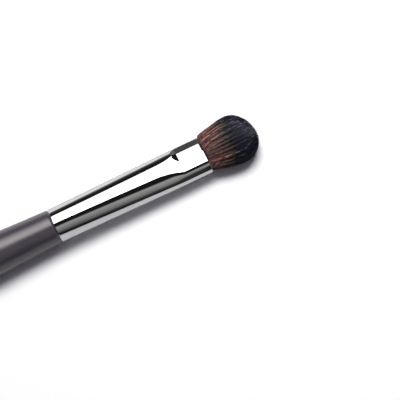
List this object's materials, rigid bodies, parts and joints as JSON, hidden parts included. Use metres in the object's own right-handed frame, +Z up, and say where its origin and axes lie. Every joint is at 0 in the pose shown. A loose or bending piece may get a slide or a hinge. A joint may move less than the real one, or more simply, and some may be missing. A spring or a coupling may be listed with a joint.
{
  "type": "contour makeup brush",
  "caption": "Slim makeup brush with a lacquered turned handle, a polished ferrule drawn from round to flat, and a domed dense tuft for blending contour around the eye.",
  "frame": {"origin": "centre of the bounding box's footprint, on the table that the brush lies on", "axes": "+X from the handle's tail towards the tuft's tip, +Y across the brush, +Z up from the table"},
  "size_m": [0.1694, 0.0124, 0.0109],
  "materials": {
    "handle_lacquer": "dark plum-grey satin lacquer over turned wood",
    "ferrule_plating": "bright nickel plating, mirror polished, over drawn brass",
    "tuft_hair": "dyed soft hair, red-brown at the roots and blue-black at the tips",
    "tie_thread": "undyed waxed thread",
    "root_resin": "cured clear amber resin",
    "bond_glue": "cured cream-coloured glue"
  },
  "bodies": {
    "root": {"handle": "handle_lacquer", "ferrule": "ferrule_plating", "hair_tuft": "tuft_hair", "binding_thread": "tie_thread", "root_resin": "root_resin", "handle_bond": "bond_glue"}
  },
  "joints": []
}
